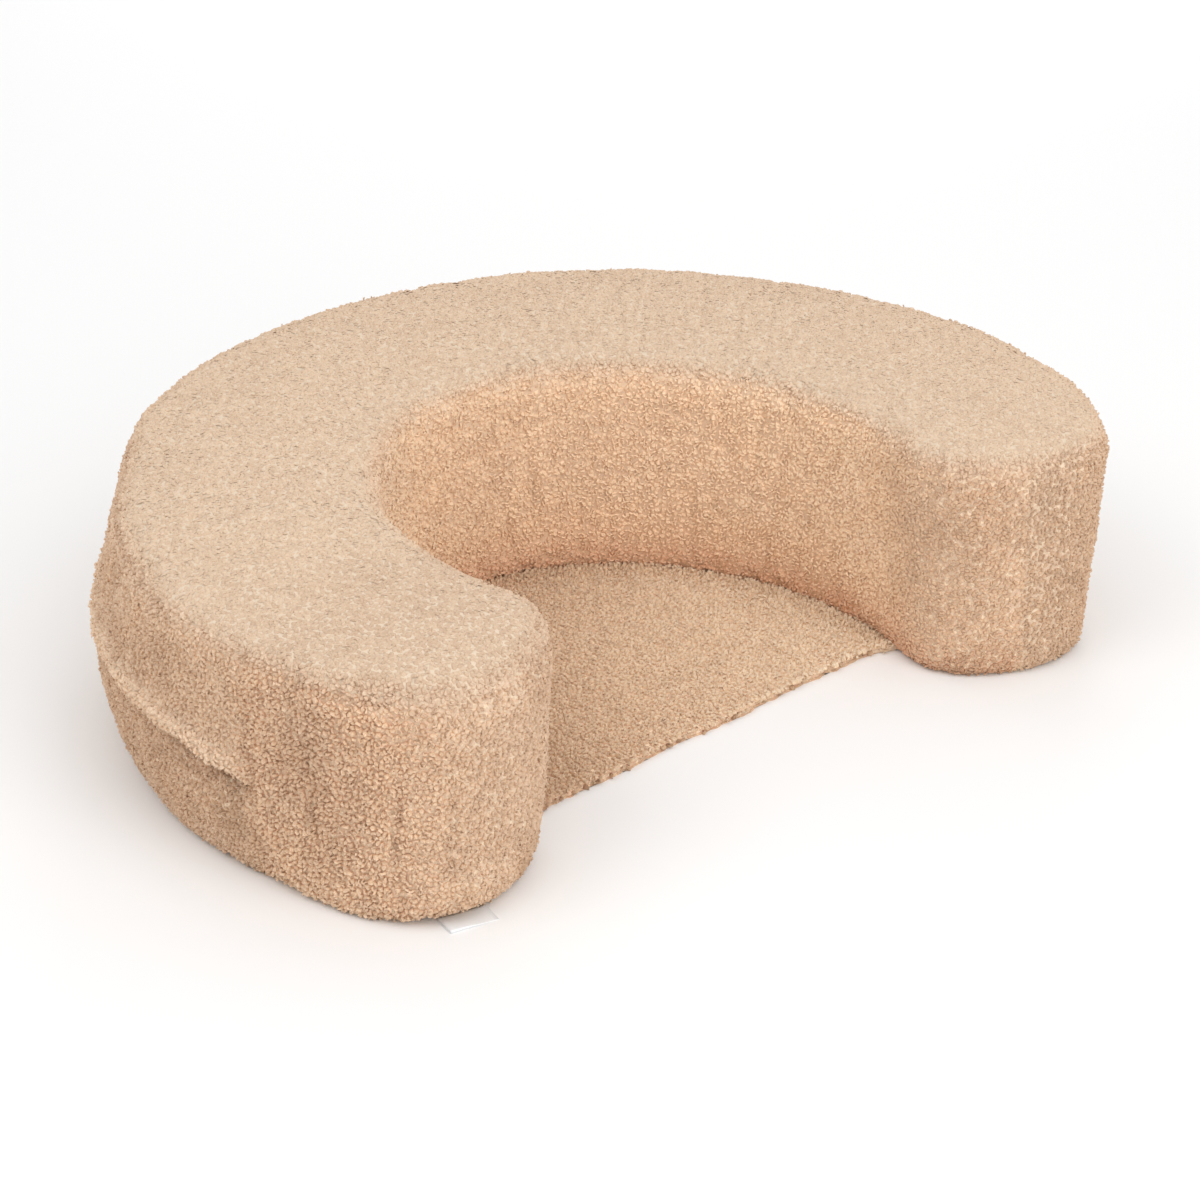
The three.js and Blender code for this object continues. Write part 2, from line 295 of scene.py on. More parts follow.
class Plan:
    """Where a point lies on the ring's plan, with its angle from the back, positive to the right"""

    def __init__(self, points):
        ring = settings().ring
        x, y = points[:, 0], points[:, 1]
        inner_y = y - ring.inner_centre_y
        self.angle = np.arctan2(x, y)
        self.turn = np.degrees(self.angle)
        self.height = points[:, 2]
        self.to_outer = np.hypot(x / ring.outer_half_width, y / ring.outer_half_depth)
        self.to_inner = np.hypot(x / ring.inner_half_width, inner_y / ring.inner_half_depth)
        from_outer = (1 - self.to_outer) * ring.outer_half_width
        from_inner = (self.to_inner - 1) * ring.inner_half_width
        self.outside = from_outer < from_inner
        self.on_arc = np.abs(self.angle) < ring.arm_angle


# The cover's cloth while its filling presses it out, how firmly it is held, and the steps that it takes
SWELLING_CLOTH = {
    "quality": 4,
    "mass": 0.35,
    "tension_stiffness": 12,
    "compression_stiffness": 12,
    "shear_stiffness": 6,
    "bending_stiffness": 0.4,
    "shrink_min": -0.01,
    "use_pressure": True,
    "uniform_pressure_force": 4,
    "pin_stiffness": 0.01,
}
HELD = 0.5
SWELL_STEPS = 20


def swollen(cover):
    """The filling presses the cover out, and holds it near its shape"""
    before = coordinates(cover.data)
    held = cover.vertex_groups.new(name="held")
    held.add(list(range(len(before))), HELD, "REPLACE")
    cloth = cover.modifiers.new("Filling", "CLOTH")
    for name, value in SWELLING_CLOTH.items():
        setattr(cloth.settings, name, value)
    cloth.settings.effector_weights.gravity = 0
    cloth.settings.vertex_group_mass = held.name
    cloth.collision_settings.use_collision = False
    scene = bpy.context.scene
    for step in range(SWELL_STEPS):
        scene.frame_set(step + 1)
    baked(cover)
    scene.frame_set(1)
    cover.vertex_groups.clear()
    moved = coordinates(cover.data) - before
    reach = np.linalg.norm(moved, axis=1, keepdims=True)
    moved *= np.minimum(1, settings().ring.most_swell / np.maximum(reach, 1e-9))
    set_coordinates(cover.data, before + moved)


# Creases that run up the arm ends: angle from the back, lowest and highest point, depth
CREASES = (
    {"angle": -117.4, "low": 6 * MM, "high": 98 * MM, "depth": 2.6 * MM},
    {"angle": -113.6, "low": 12 * MM, "high": 62 * MM, "depth": 1.2 * MM},
    {"angle": -122.5, "low": 30 * MM, "high": 104 * MM, "depth": 1.2 * MM},
    {"angle": -107.8, "low": 20 * MM, "high": 118 * MM, "depth": 1.0 * MM},
    {"angle": 117.0, "low": 14 * MM, "high": 84 * MM, "depth": 1.6 * MM},
    {"angle": 124.0, "low": 40 * MM, "high": 110 * MM, "depth": 1.0 * MM},
)
CREASE_HALF_WIDTH = 3 * MM
CREASE_SWAY = 1.5 * MM
CREASE_SWAY_LENGTH = 11 * MM

# Along the fold, by the angle from the back: how strong it is, how far its crest lies above its common
# height, and how strong the crease under it is
FOLD_STRENGTH = {-101: 0.9, -96: 1.0, -70: 0.9, -30: 0.55, 40: 0.4, 100: 0.6}
FOLD_RISE = {-101: -5 * MM, -90: 3 * MM, -70: 5 * MM, 0: 0.0, 100: 3 * MM}
FOLD_CREASE_STRENGTH = {-101: 1.1, -98: 1.4, -88: 0.8, -70: 0.5, 100: 0.5}
FOLD_SWAY = 3 * MM
FOLD_LUMPS = 0.7

# Widths and places that go by those of the seams and of the fold
PANEL_SEAM_WIDER = 1.6
FOLD_CREASE_WIDER = 1.1
FOLD_CREASE_BELOW = 1.8


class Sewing:
    """How near each point lies to a seam or the fold, from 0 to 1, and how deep in an arm end's crease"""

    def __init__(self, points, out):
        self.points = points
        self.plan = Plan(points)
        self.side_on = rising(np.abs(out[:, 2]), 0.75, 0.45)
        self.sew_seams()
        self.lay_fold()
        self.crease_ends()

    def across(self, angle):
        """How far each point lies from the upright line at an angle from the back"""
        return (self.plan.angle - angle) * np.hypot(self.points[:, 0], self.points[:, 1])

    def sew_seams(self):
        """The seams between the outer wall's panels, and the seam round the top"""
        ring = settings().ring
        half_width = PANEL_SEAM_WIDER * ring.seam_width
        near = sum(bump(self.across(way * ring.panel_seam) / half_width) for way in (-1, 1))
        self.panel = near * self.side_on * self.plan.outside
        soft_left_end = rising(-self.plan.turn, 106, 118)
        self.top_height = ring.top_seam - ring.top_seam_drop * soft_left_end
        self.top = bump((self.plan.height - self.top_height) / ring.seam_width)

    def lay_fold(self):
        """The crest of the fold on the outer wall, and the crease under it"""
        ring, turn, height = settings().ring, self.plan.turn, self.plan.height
        strength = along(turn, FOLD_STRENGTH) * self.plan.outside * rising(np.abs(turn), 101.5, 96.5)
        crest = ring.fold_height + along(turn, FOLD_RISE)
        crest += FOLD_SWAY * slow_noise(self.points, **WAVES["fold_line"])
        lumps = 1 + FOLD_LUMPS * slow_noise(self.points, **WAVES["fold_lumps"])
        self.fold = bump((height - crest) / ring.fold_width) * strength * lumps
        below = crest - FOLD_CREASE_BELOW * ring.fold_width
        self.crease = bump((height - below) / (FOLD_CREASE_WIDER * ring.fold_width))
        self.crease *= strength * along(turn, FOLD_CREASE_STRENGTH)

    def crease_ends(self):
        """The creases that run up the arm ends"""
        height = self.plan.height
        sway = CREASE_SWAY * np.sin(height / CREASE_SWAY_LENGTH)
        self.wrinkles = np.zeros(len(self.points))
        for line in CREASES:
            middle, reach = (line["low"] + line["high"]) / 2, (line["high"] - line["low"]) / 2
            near = bump((self.across(math.radians(line["angle"])) + sway) / CREASE_HALF_WIDTH)
            self.wrinkles += near * bump((height - middle) / reach) ** 0.5 * line["depth"] * self.side_on


def sewn(cover):
    """Pulls the cover in along its seams and creases, lifts its fold and gives it slow waves"""
    ring = settings().ring
    points, out = coordinates(cover.data), normals(cover.data)
    sewing = Sewing(points, out)
    broad = slow_noise(points, **WAVES["cover_broad"])
    fine = 0.6 * slow_noise(points, **WAVES["cover_fine"])
    lift = ring.unevenness * (broad + fine)
    lift += ring.fold_crest * sewing.fold
    lift -= ring.fold_crease * sewing.crease
    lift -= ring.panel_seam_depth * sewing.panel
    lift -= ring.top_seam_depth * sewing.top
    lift -= sewing.wrinkles
    lift *= rising(points[:, 2], 4 * MM, 14 * MM)
    right_foot = bump((sewing.plan.turn - 143) / 22) * rising(points[:, 2], 34 * MM, 4 * MM)
    sideways = out * (1, 1, 0)
    points += out * lift[:, None]
    set_coordinates(cover.data, points - sideways * (ring.foot_tuck * right_foot)[:, None])


# How high the cloth of the flat base lies
BASE_HEIGHT = 0.6 * MM


def ring_cover():
    """The ring's cover under its pile: swollen by its filling, sewn, and flat where it rests"""
    sizes = settings()
    cover = merged_copy("ring_cushion", "ring_cover")
    remesh = cover.modifiers.new("Cloth grid", "REMESH")
    remesh.mode = "VOXEL"
    remesh.voxel_size = sizes.ring.voxel
    remesh.use_smooth_shade = True
    baked(cover)
    swell = sizes.ring.swell
    points, out = coordinates(cover.data), normals(cover.data)
    on_top = rising(out[:, 2:], 0.3, 0.8)
    height = sizes.pile.height + (sizes.pile.brushed_height - sizes.pile.height) * on_top
    set_coordinates(cover.data, points - out * (sizes.pile.reach * height + swell))
    if swell:
        swollen(cover)
    sewn(cover)
    points = coordinates(cover.data)
    facing_down = normals(cover.data)[:, 2] < -0.9
    low = points[:, 2] < sizes.pile.height + 2 * MM
    points[:, 2] = np.where(facing_down & low, BASE_HEIGHT, points[:, 2])
    set_coordinates(cover.data, points)
    cover.data.materials.clear()
    cover.data.materials.append(material("backing_cloth", backing_cloth))
    cover.data.shade_smooth()
    return cover


def foot(index, **circle):
    """The start of a curl or strand: its random numbers, and its shape with the layer of its height"""
    shape = bmesh.new()
    rise = shape.verts.layers.float.new("rise")
    around = shape.verts.layers.float.new("around")
    verts = bmesh.ops.create_circle(shape, cap_ends=True, **circle)["verts"]
    for number, vert in enumerate(verts):
        vert[around] = number / len(verts)
    return np.random.default_rng(settings().pile.seed + index), shape, rise


# A curl's shape: the most that a point of its crest is lowered, as a factor on the unevenness, the
# height that is left where its loop opens, its longest form, and how deep its foot is sunk
CREST_LOWERED = 1.5
LOOP_OPENING = 0.55
LONGEST_CURL = 1.35
SUNK = 0.2 * MM


def curl(index):
    """A curl coiled into a low tuft: its loop stands round a hollow and opens at one side"""
    pile = settings().pile
    pick, shape, rise = foot(index, segments=pile.sides, radius=pile.width / 2)

    def stray(vert):
        vert.co.xy += Vector(pick.uniform(-1, 1, 2)) * pile.uneven * pile.width / 3

    loop = bmesh.ops.extrude_discrete_faces(shape, faces=shape.faces[:])["faces"][0]
    crest = loop.verts[:]
    bmesh.ops.translate(shape, vec=(0, 0, pile.height), verts=crest)
    bmesh.ops.scale(shape, vec=(pile.loop, pile.loop, 1), verts=crest)
    bmesh.ops.rotate(shape, matrix=Matrix.Rotation(pick.uniform(0, math.pi / 3), 3, "Z"), verts=crest)
    middle = bmesh.ops.poke(shape, faces=[loop], offset=-pile.hollow)["verts"][0]
    bmesh.ops.holes_fill(shape, edges=shape.edges, sides=pile.sides)
    for vert in crest:
        vert.co.z *= 1 - pile.uneven * pick.uniform(0, CREST_LOWERED)
        stray(vert)
    crest[pick.integers(pile.sides)].co.z *= LOOP_OPENING
    stray(middle)
    longer = pick.uniform(1.0, LONGEST_CURL)
    bmesh.ops.scale(shape, vec=(longer, 1 / longer**0.7, 1), verts=shape.verts)
    # Each point's height on the curl, which picks its painted shade and highlight
    for vert in shape.verts:
        vert[rise] = np.clip(vert.co.z / pile.height, 0, 1)
    middle[rise] *= pile.shade_inside
    bmesh.ops.translate(shape, vec=(0, 0, -SUNK), verts=shape.verts)
    return bpy.data.objects.new(f"curl_{index}", mesh_from(shape, f"curl_{index}"))


# A strand's shape: how far it bends over at first and coils after that, in degrees, and its stride,
# each from the least to the most, then its first rise and its tip as shares of the pile and the stride
BEND_OVER = (72, 86)
COIL = (60, 100)
STRIDE = (0.85, 1.2)
FIRST_RISE = 0.55
TIP = 0.7
STRAND_SIDES = 3


def strand(index):
    """A loose strand that rises between the curls, bends over, coils round and ends in a tip"""
    pile = settings().pile
    turned = Matrix.Rotation(math.pi / 2, 4, "Z")
    pick, shape, rise = foot(index, segments=STRAND_SIDES, radius=pile.strand / 2, matrix=turned)
    over = math.radians(pick.uniform(*BEND_OVER))
    coil = pick.choice([-1, 1]) * math.radians(pick.uniform(*COIL))
    stride = pile.strand_step * pick.uniform(*STRIDE)
    face = shape.faces[:][0]
    heading = Vector((0, 0, 1))
    for bend in range(pile.strand_bends):
        step = stride if bend else FIRST_RISE * pile.height
        turn = Matrix.Rotation(coil, 3, "Z") if bend else Matrix.Rotation(over, 3, (0, 1, 0))
        face = bmesh.ops.extrude_discrete_faces(shape, faces=[face])["faces"][0]
        bmesh.ops.translate(shape, vec=heading * step, verts=face.verts)
        heading = turn @ heading
        here = Matrix.Translation(-face.calc_center_median())
        bmesh.ops.rotate(shape, matrix=turn, verts=face.verts, space=here)
        bmesh.ops.scale(shape, vec=(pile.taper,) * 3, verts=face.verts, space=here)
    bmesh.ops.poke(shape, faces=[face], offset=stride * TIP)
    bmesh.ops.holes_fill(shape, edges=shape.edges, sides=STRAND_SIDES)
    crest = max(vert.co.z for vert in shape.verts)
    # Each point's height on the strand, which picks its painted shade and highlight
    for vert in shape.verts:
        vert[rise] = np.clip(vert.co.z / crest, 0, 1)
    return bpy.data.objects.new(f"strand_{index}", mesh_from(shape, f"strand_{index}"))


def curl_kinds():
    """Half curls and half strands, which the pile picks by their place in the order of their names"""
    kinds = bpy.data.collections.new("curl_kinds")
    for index in range(settings().pile.kinds):
        kinds.objects.link(strand(index) if index % 2 else curl(index))
    return kinds


class Nodes:
    """Adds nodes to a tree, where a value is a number, a colour, a name or a node with its output"""

    def __init__(self, tree):
        self.tree = tree

    def add(self, kind, entries=None, **options):
        node = self.tree.nodes.new(kind)
        for name, value in options.items():
            setattr(node, name, value)
        for entry, value in (entries or {}).items():
            if isinstance(value, tuple) and isinstance(value[0], bpy.types.Node):
                self.tree.links.new(value[0].outputs[value[1]], node.inputs[entry])
            else:
                node.inputs[entry].default_value = value
        return node

    def maths(self, operation, *values):
        return self.add("ShaderNodeMath", dict(enumerate(values)), operation=operation), 0

    def drawn(self, kind, low, high, number):
        """A random value for each curl"""
        first = {"FLOAT_VECTOR": 0, "FLOAT": 2}[kind]
        seed = settings().pile.seed + number
        entries = {first: low, first + 1: high, "Seed": seed}
        return self.add("FunctionNodeRandomValue", entries, data_type=kind), first // 2

    def stored(self, name):
        """What is painted on the cloth or stored on the curls"""
        return self.add("GeometryNodeInputNamedAttribute", {"Name": name}, data_type="FLOAT"), 0


# Painted sizes are shares of this factor. A curl's own size and height vary from the least to the most
PAINT_FULL = 1.5
CURL_SIZE = (0.88, 1.15)
CURL_HEIGHT = (0.75, 1.2)

# How far the curls' own tones lie apart, the darkest and palest tone, and how far it turns round a curl
TONE_SPREAD = 0.18
TONES_KEPT = (0.01, 0.98)
TONE_ROUND_CURL = 0.01

# Upper bound on the roots, for each square of the pitch, before those too close together are dropped
MOST_ROOTS = 20


def pile_tree():
    """Geometry nodes that stand curls all over a piece of cloth"""
    pile = settings().pile
    tree = bpy.data.node_groups.new("curly_pile", "GeometryNodeTree")
    tree.interface.new_socket("Cloth", in_out="INPUT", socket_type="NodeSocketGeometry")
    tree.interface.new_socket("Pile", in_out="OUTPUT", socket_type="NodeSocketGeometry")
    on = Nodes(tree)

    cloth = on.add("NodeGroupInput")
    spot = on.add("GeometryNodeInputPosition")
    level = on.add("ShaderNodeSeparateXYZ", {0: (spot, 0)})
    roots = on.add("GeometryNodeDistributePointsOnFaces", {
        "Mesh": (cloth, 0),
        "Distance Min": pile.pitch,
        "Density Max": MOST_ROOTS / pile.pitch**2,
        "Seed": pile.seed,
    }, distribute_method="POISSON")
    limits = {"A": (level, "Z"), "B": pile.clear}
    too_low = on.add("FunctionNodeCompare", limits, data_type="FLOAT", operation="LESS_THAN")
    dropped = {"Geometry": (roots, "Points"), "Selection": (too_low, 0)}
    standing = on.add("GeometryNodeDeleteGeometry", dropped, domain="POINT")
    # Each curl's tone: its own random tone plus the painted light and shade of the cloth under it
    chance_tone = on.drawn("FLOAT", -0.5, 0.5, 4)
    toned = on.add("GeometryNodeStoreNamedAttribute", {
        "Geometry": (standing, 0),
        "Name": "tone",
        "Value": on.maths("MULTIPLY_ADD", chance_tone, TONE_SPREAD, on.stored("shade")),
    }, data_type="FLOAT", domain="POINT")

    lean = on.drawn("FLOAT_VECTOR", (-pile.tilt, -pile.tilt, 0), (pile.tilt, pile.tilt, 2 * math.pi), 1)
    turn = on.add("FunctionNodeEulerToRotation", {0: lean})
    turns = {0: (roots, "Rotation"), 1: (turn, 0)}
    upright = on.add("FunctionNodeRotateRotation", turns, rotation_space="LOCAL")
    chance_size = on.drawn("FLOAT", *(PAINT_FULL * limit for limit in CURL_SIZE), 2)
    size = on.maths("MULTIPLY", chance_size, on.stored("size"))
    chance_kind = on.drawn("FLOAT", 0, pile.kinds - 0.01, 3)
    kind = on.maths("MULTIPLY", chance_kind, on.stored("loose"))
    chance_height = on.drawn("FLOAT", *(PAINT_FULL * limit for limit in CURL_HEIGHT), 5)
    height = on.maths("MULTIPLY", chance_height, on.stored("flat"))
    scale = on.add("ShaderNodeCombineXYZ", {"X": size, "Y": size, "Z": height})
    kinds = on.add("GeometryNodeCollectionInfo", {"Collection": curl_kinds(), "Separate Children": True})
    stood = on.add("GeometryNodeInstanceOnPoints", {
        "Points": (toned, 0),
        "Instance": (kinds, 0),
        "Pick Instance": True,
        "Instance Index": kind,
        "Rotation": (upright, 0),
        "Scale": (scale, 0),
    })
    real = on.add("GeometryNodeRealizeInstances", {0: (stood, 0)})
    above_floor = on.maths("MAXIMUM", (level, "Z"), pile.pressed)
    resting = on.add("ShaderNodeCombineXYZ", {"X": (level, "X"), "Y": (level, "Y"), "Z": above_floor})
    pressed = on.add("GeometryNodeSetPosition", {"Geometry": (real, 0), "Position": (resting, 0)})

    tone = on.add("ShaderNodeClamp", {0: on.stored("tone"), 1: TONES_KEPT[0], 2: TONES_KEPT[1]})
    across = on.maths("MULTIPLY_ADD", on.stored("around"), TONE_ROUND_CURL, (tone, 0))
    # Painted shade and highlight: how far up its curl a point lies picks its colour, between the calm of
    # the roots and the crest
    ends = {2: on.stored("calm"), 3: on.stored("crest")}
    up_curl = on.add("ShaderNodeMix", {0: on.stored("rise"), **ends}, data_type="FLOAT")
    place = on.add("ShaderNodeCombineXYZ", {"X": across, "Y": (up_curl, 0)})
    mapped = on.add("GeometryNodeStoreNamedAttribute", {
        "Geometry": (pressed, 0),
        "Name": "OFBake",
        "Value": (place, 0),
    }, data_type="FLOAT2", domain="CORNER")
    on.add("NodeGroupOutput", {0: (mapped, 0)})
    return tree


# The pile's common look on the ring, and what each zone adds to it. shade: how pale it is, calm: how pale
# its roots are, crest: how pale its crests are, size: how wide and flat: how high the curls are. Much of
# the zones' shade, calm and crest is painted light and shade: painted sheen on the top, painted light on
# the front wall, the inside and the inside's right, with the inside warmest from painted bounce light, a
# painted highlight on the fold's crest, and painted shade on the front of the top, the arm ends, low
# inside, at the fold's foot, under the fold, in its crease, in the wrinkles and at the mat
COMMON_LOOK = {"shade": 0.42, "calm": 0.16, "crest": 1.0, "size": 1.0, "flat": 1.0}
ZONE_LOOKS = {
    "top": {"shade": 0.1},
    "front_top": {"shade": -0.1},
    "flat_top": {"flat": -0.64},
    "front_wall": {"shade": 0.15, "calm": -0.06, "size": 0.06, "flat": 0.25},
    "side_wall": {"calm": 0.15},
    "beside_seam": {"shade": -0.28},
    "inside": {"shade": 0.46, "calm": 0.25, "crest": -0.2, "size": 0.05, "flat": -0.2},
    "inside_low": {"shade": 0.16, "calm": -0.41, "crest": -0.36},
    "inside_left": {"shade": -0.22, "calm": 0.5},
    "inside_far_left": {"crest": 0.1},
    "inside_right": {"shade": 0.14},
    "arm_ends": {"shade": -0.04, "calm": 0.05, "flat": -0.2},
    "left_end": {"shade": -0.05, "calm": 0.32},
    "right_end": {"shade": -0.06},
    "right_edge": {"calm": 0.3},
    "right_tip": {"shade": -0.1, "crest": -0.15},
    "fold": {"shade": 0.3, "calm": 0.4},
    "fold_foot": {"shade": -0.35, "crest": -0.25},
    "under_fold": {"shade": -0.06},
    "crease": {"shade": -0.3},
    "crease_end": {"shade": -0.3},
    "at_mat": {"shade": -0.2, "calm": -0.3, "crest": -0.3},
    "seams": {"shade": -0.15, "calm": -0.3, "size": -0.15},
    "wrinkles": {"shade": -0.12},
}

# Where the colour of a curl's tip, its painted highlight, lies, and the calm of the flat top under its
# painted sheen, from a root's 0 to a crest's 1
TIP_PLACE = 0.75
BRUSHED_SHEEN_CALM = 0.92

# Where the seat ends at the ring, as a share of the way from its centre to the inner edge
AT_RING = 0.97


def facing_up(out):
    return rising(out[:, 2], 0.2, 0.8)


def ring_zones(points, out):
    """How much each point of the ring's cover lies in each zone; the wrinkles' depth is in mm"""
    sewing = Sewing(points, out)
    plan, height = sewing.plan, sewing.plan.height
    right, left, arm = plan.turn, -plan.turn, np.abs(plan.turn)
    over_edge = rising(height, sewing.top_height - 1 * MM, sewing.top_height + 5 * MM)
    side = 1 - np.maximum(facing_up(out), 0.8 * over_edge)
    outer, inner = side * plan.outside, side * ~plan.outside
    inside = inner * rising(arm - 5 * (right > 0), 128, 110)
    inside_left = inside * rising(left, 20, 50)
    side_wall = outer * rising(arm, 100, 98)
    arm_ends = side * rising(arm, 118, 128)
    right_end = side * rising(right, 108, 120)
    return {
        "top": 1 - side,
        "front_top": (1 - side) * rising(left, 88, 103),
        "flat_top": rising(out[:, 2], 0.72, 0.92),
        "front_wall": outer * rising(left, 99, 101) * rising(left, 124, 116),
        "side_wall": side_wall,
        "beside_seam": outer * bump((left - 108) / 9) * bump((height - 95 * MM) / (75 * MM)),
        "inside": inside,
        "inside_low": inside * rising(height, 60 * MM, 10 * MM),
        "inside_left": inside_left,
        "inside_far_left": inside * inside_left,
        "inside_right": inner * rising(right, 50, 90) * rising(right, 130, 115),
        "arm_ends": arm_ends,
        "left_end": arm_ends * (left > 0),
        "right_end": right_end,
        "right_edge": right_end * plan.outside,
        "right_tip": right_end * rising(plan.to_outer, 0.98, 0.83),
        "fold": sewing.fold,
        "fold_foot": side_wall * bump((left - 97) / 6) * bump((height - 45 * MM) / (24 * MM)),
        "under_fold": side_wall * (left > 0) * rising(height, 66 * MM, 54 * MM),
        "crease": sewing.crease,
        "crease_end": sewing.crease * rising(left, 86, 94),
        "at_mat": inner * rising(height, 26 * MM, 4 * MM),
        "seams": np.maximum(sewing.top, 0.6 * sewing.panel),
        "wrinkles": sewing.wrinkles / MM,
    }


def ring_look(points, out):
    """The pile's look all over the ring's cover"""
    zones = ring_zones(points, out)
    look = {quality: np.full(len(points), common) for quality, common in COMMON_LOOK.items()}
    for zone, effects in ZONE_LOOKS.items():
        for quality, effect in effects.items():
            look[quality] += effect * zones[zone]
    top = zones["top"]
    look["calm"] = TIP_PLACE * look["calm"] * (1 - top) + BRUSHED_SHEEN_CALM * top
    look["crest"] = TIP_PLACE * look["crest"] * (1 - top) + top
    look["loose"] = 1 - 0.5 * top
    return look


def seat_look(points, out):
    """The pile's look on the mat, as painted light and shade: paler to the right and darker to the left,
    where the left arm's shadow is painted, and painted shade darker at the back, the ring and the front's
    foot
    """
    to_ring = Plan(points).to_inner
    right, back = points[:, 0], np.clip(points[:, 1], 0, 120 * MM)
    front = (out[:, 1] < -0.3) & (to_ring < AT_RING)
    foot = front & (points[:, 2] < 3 * MM)
    at_ring = ~front * rising(to_ring, 0.95, 0.99)
    return {
        "shade": 0.54 + 1.3 * right - 1.4 * back - 0.5 * foot,
        "calm": np.clip(0.08 + 1.6 * right, 0.02, 0.36) * (1 - 0.5 * foot),
        "crest": np.clip(0.78 + 1.1 * right, 0.62, 0.95) - 0.4 * foot - 0.3 * at_ring,
        "size": 0.94 + 0.2 * front,
        "flat": 0.9 + 0.6 * front + 0.45 * at_ring,
        "loose": np.full(len(points), 0.8),
    }


def painted(piece, look_of):
    """Paints the pile's look on a piece of cloth, with slow changes that are strongest on steep sides"""
    points, out = coordinates(piece.data), normals(piece.data)
    up = facing_up(out)
    look = look_of(points, out)
    fine, broad = slow_noise(points, **WAVES["tone_fine"]), slow_noise(points, **WAVES["tone_broad"])
    look["shade"] += (0.12 * fine + 0.1 * broad) * (1 - 0.6 * up)
    look["crest"] += 0.18 * slow_noise(points, **WAVES["crests"]) * (1 - up)
    look["size"] /= PAINT_FULL
    look["flat"] /= PAINT_FULL
    for name, values in look.items():
        layer = piece.data.attributes.new(name, "FLOAT", "POINT")
        layer.data.foreach_set("value", np.clip(values, 0, 1).astype(np.float32))


def in_panels(cover):
    """The ring's faces by the piece of cloth that they are part of"""
    centre = vectors(cover.data.polygons, "center")
    up = vectors(cover.data.polygons, "normal")[:, 2]
    plan = Plan(centre)
    base = (up < -0.8) & (plan.height < 8 * MM)
    top = (up > 0.62) & ~base
    wall = ~top & ~base
    left = centre[:, 0] < 0
    return {
        "pile_top_left": top & left,
        "pile_top_right": top & ~left,
        "pile_wall_left": wall & plan.outside & plan.on_arc & left,
        "pile_wall_right": wall & plan.outside & plan.on_arc & ~left,
        "pile_inside": wall & ~plan.outside & plan.on_arc,
        "pile_arm_ends": wall & ~plan.on_arc,
    }


def cloth_cut(piece, name, chosen):
    """A copy of some faces of a piece"""
    shape = bmesh.new()
    shape.from_mesh(piece.data)
    shape.faces.ensure_lookup_table()
    left_out = [shape.faces[i] for i in np.flatnonzero(~chosen)]
    bmesh.ops.delete(shape, geom=left_out, context="FACES")
    return new_piece(name, mesh_from(shape, name))


def with_pile(cut, tree, finish):
    """Swaps a cut of cloth for the pile that stands on it"""
    grow = cut.modifiers.new("Pile", "NODES")
    grow.node_group = tree
    baked(cut)
    cut.data.materials.clear()
    cut.data.materials.append(finish)
    for name in ("tone", "rise", "around", "shade", "calm", "crest", "size", "flat", "loose"):
        cut.data.attributes.remove(cut.data.attributes[name])
    cut.data.shade_flat()
    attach(cut, "root")
    return cut


def material(name, finish, **choices):
    """The material of that name, built once from what the finish says of its shader"""
    made = bpy.data.materials.get(name)
    if made is None:
        made = bpy.data.materials.new(name)
        made.use_nodes = True
        made.node_tree.nodes.clear()
        on = Nodes(made.node_tree)
        shader = on.add("ShaderNodeBsdfPrincipled", finish(on, **choices))
        on.add("ShaderNodeOutputMaterial", {0: (shader, 0)})
    return made


def ramp(on, source, stops):
    """Colours along a value, by their places from 0 to 1"""
    node = on.add("ShaderNodeValToRGB", {0: source})
    elements = node.color_ramp.elements
    elements.remove(elements[0])
    for index, (place, rgb) in enumerate(stops):
        stop = elements.new(place) if index else elements[0]
        stop.position = place
        stop.color = (*rgb, 1)
    return node, 0


def mixed(on, share_of_second, first, second, **options):
    entries = {0: share_of_second, 6: first, 7: second}
    return on.add("ShaderNodeMix", entries, data_type="RGBA", **options), 2


# Shades that a curl's tone gives it, and those of the fibres along it. The tone carries its zone's painted
# light and shade: darkest at 0, and palest and warmest at 1 with the inner wall's painted bounce light
TONES = (
    (0.0, (0.55, 0.465, 0.41)),
    (0.3, (0.70, 0.61, 0.56)),
    (0.5, (0.82, 0.75, 0.71)),
    (1.0, (1.0, 0.955, 0.915)),
)
FIBRES = (
    (0.3, (0.84, 0.80, 0.76)),
    (0.55, (1.0, 1.0, 1.0)),
)


def curly_pile(on, tint=(1, 1, 1)):
    """Curls with painted shade, redder at the root, and a painted highlight, pale at the tip, each with
    its own tone, which also carries its zone's painted light and shade
    """
    colours = settings().colours
    where = on.add("ShaderNodeUVMap", uv_map="OFBake")
    split = on.add("ShaderNodeSeparateXYZ", {0: (where, 0)})
    # Painted shade and highlight by each point's height on its curl, from the deep and root colours to the
    # lit tip and the top's painted sheen
    up_curl = ramp(on, (split, 1), (
        (0.0, colours.deep),
        (0.1, colours.root),
        (0.38, colours.middle),
        (TIP_PLACE, colours.tip),
        (1.0, colours.brushed_sheen),
    ))
    tones = [(place, [t * c for t, c in zip(tint, tone)]) for place, tone in TONES]
    toned = mixed(on, 1.0, up_curl, ramp(on, (split, 0), tones), blend_type="MULTIPLY")
    spread = on.add("ShaderNodeMapping", {0: (where, 0), "Scale": (650.0, 3.0, 1.0)})
    twist = on.add("ShaderNodeTexNoise", {"Vector": (spread, 0), "Scale": 1.0, "Detail": 1.0})
    fibres = ramp(on, (twist, "Fac"), FIBRES)
    return {
        "Base Color": mixed(on, 1.0, toned, fibres, blend_type="MULTIPLY"),
        "Roughness": 0.85,
        "Specular IOR Level": 0.08,
    }


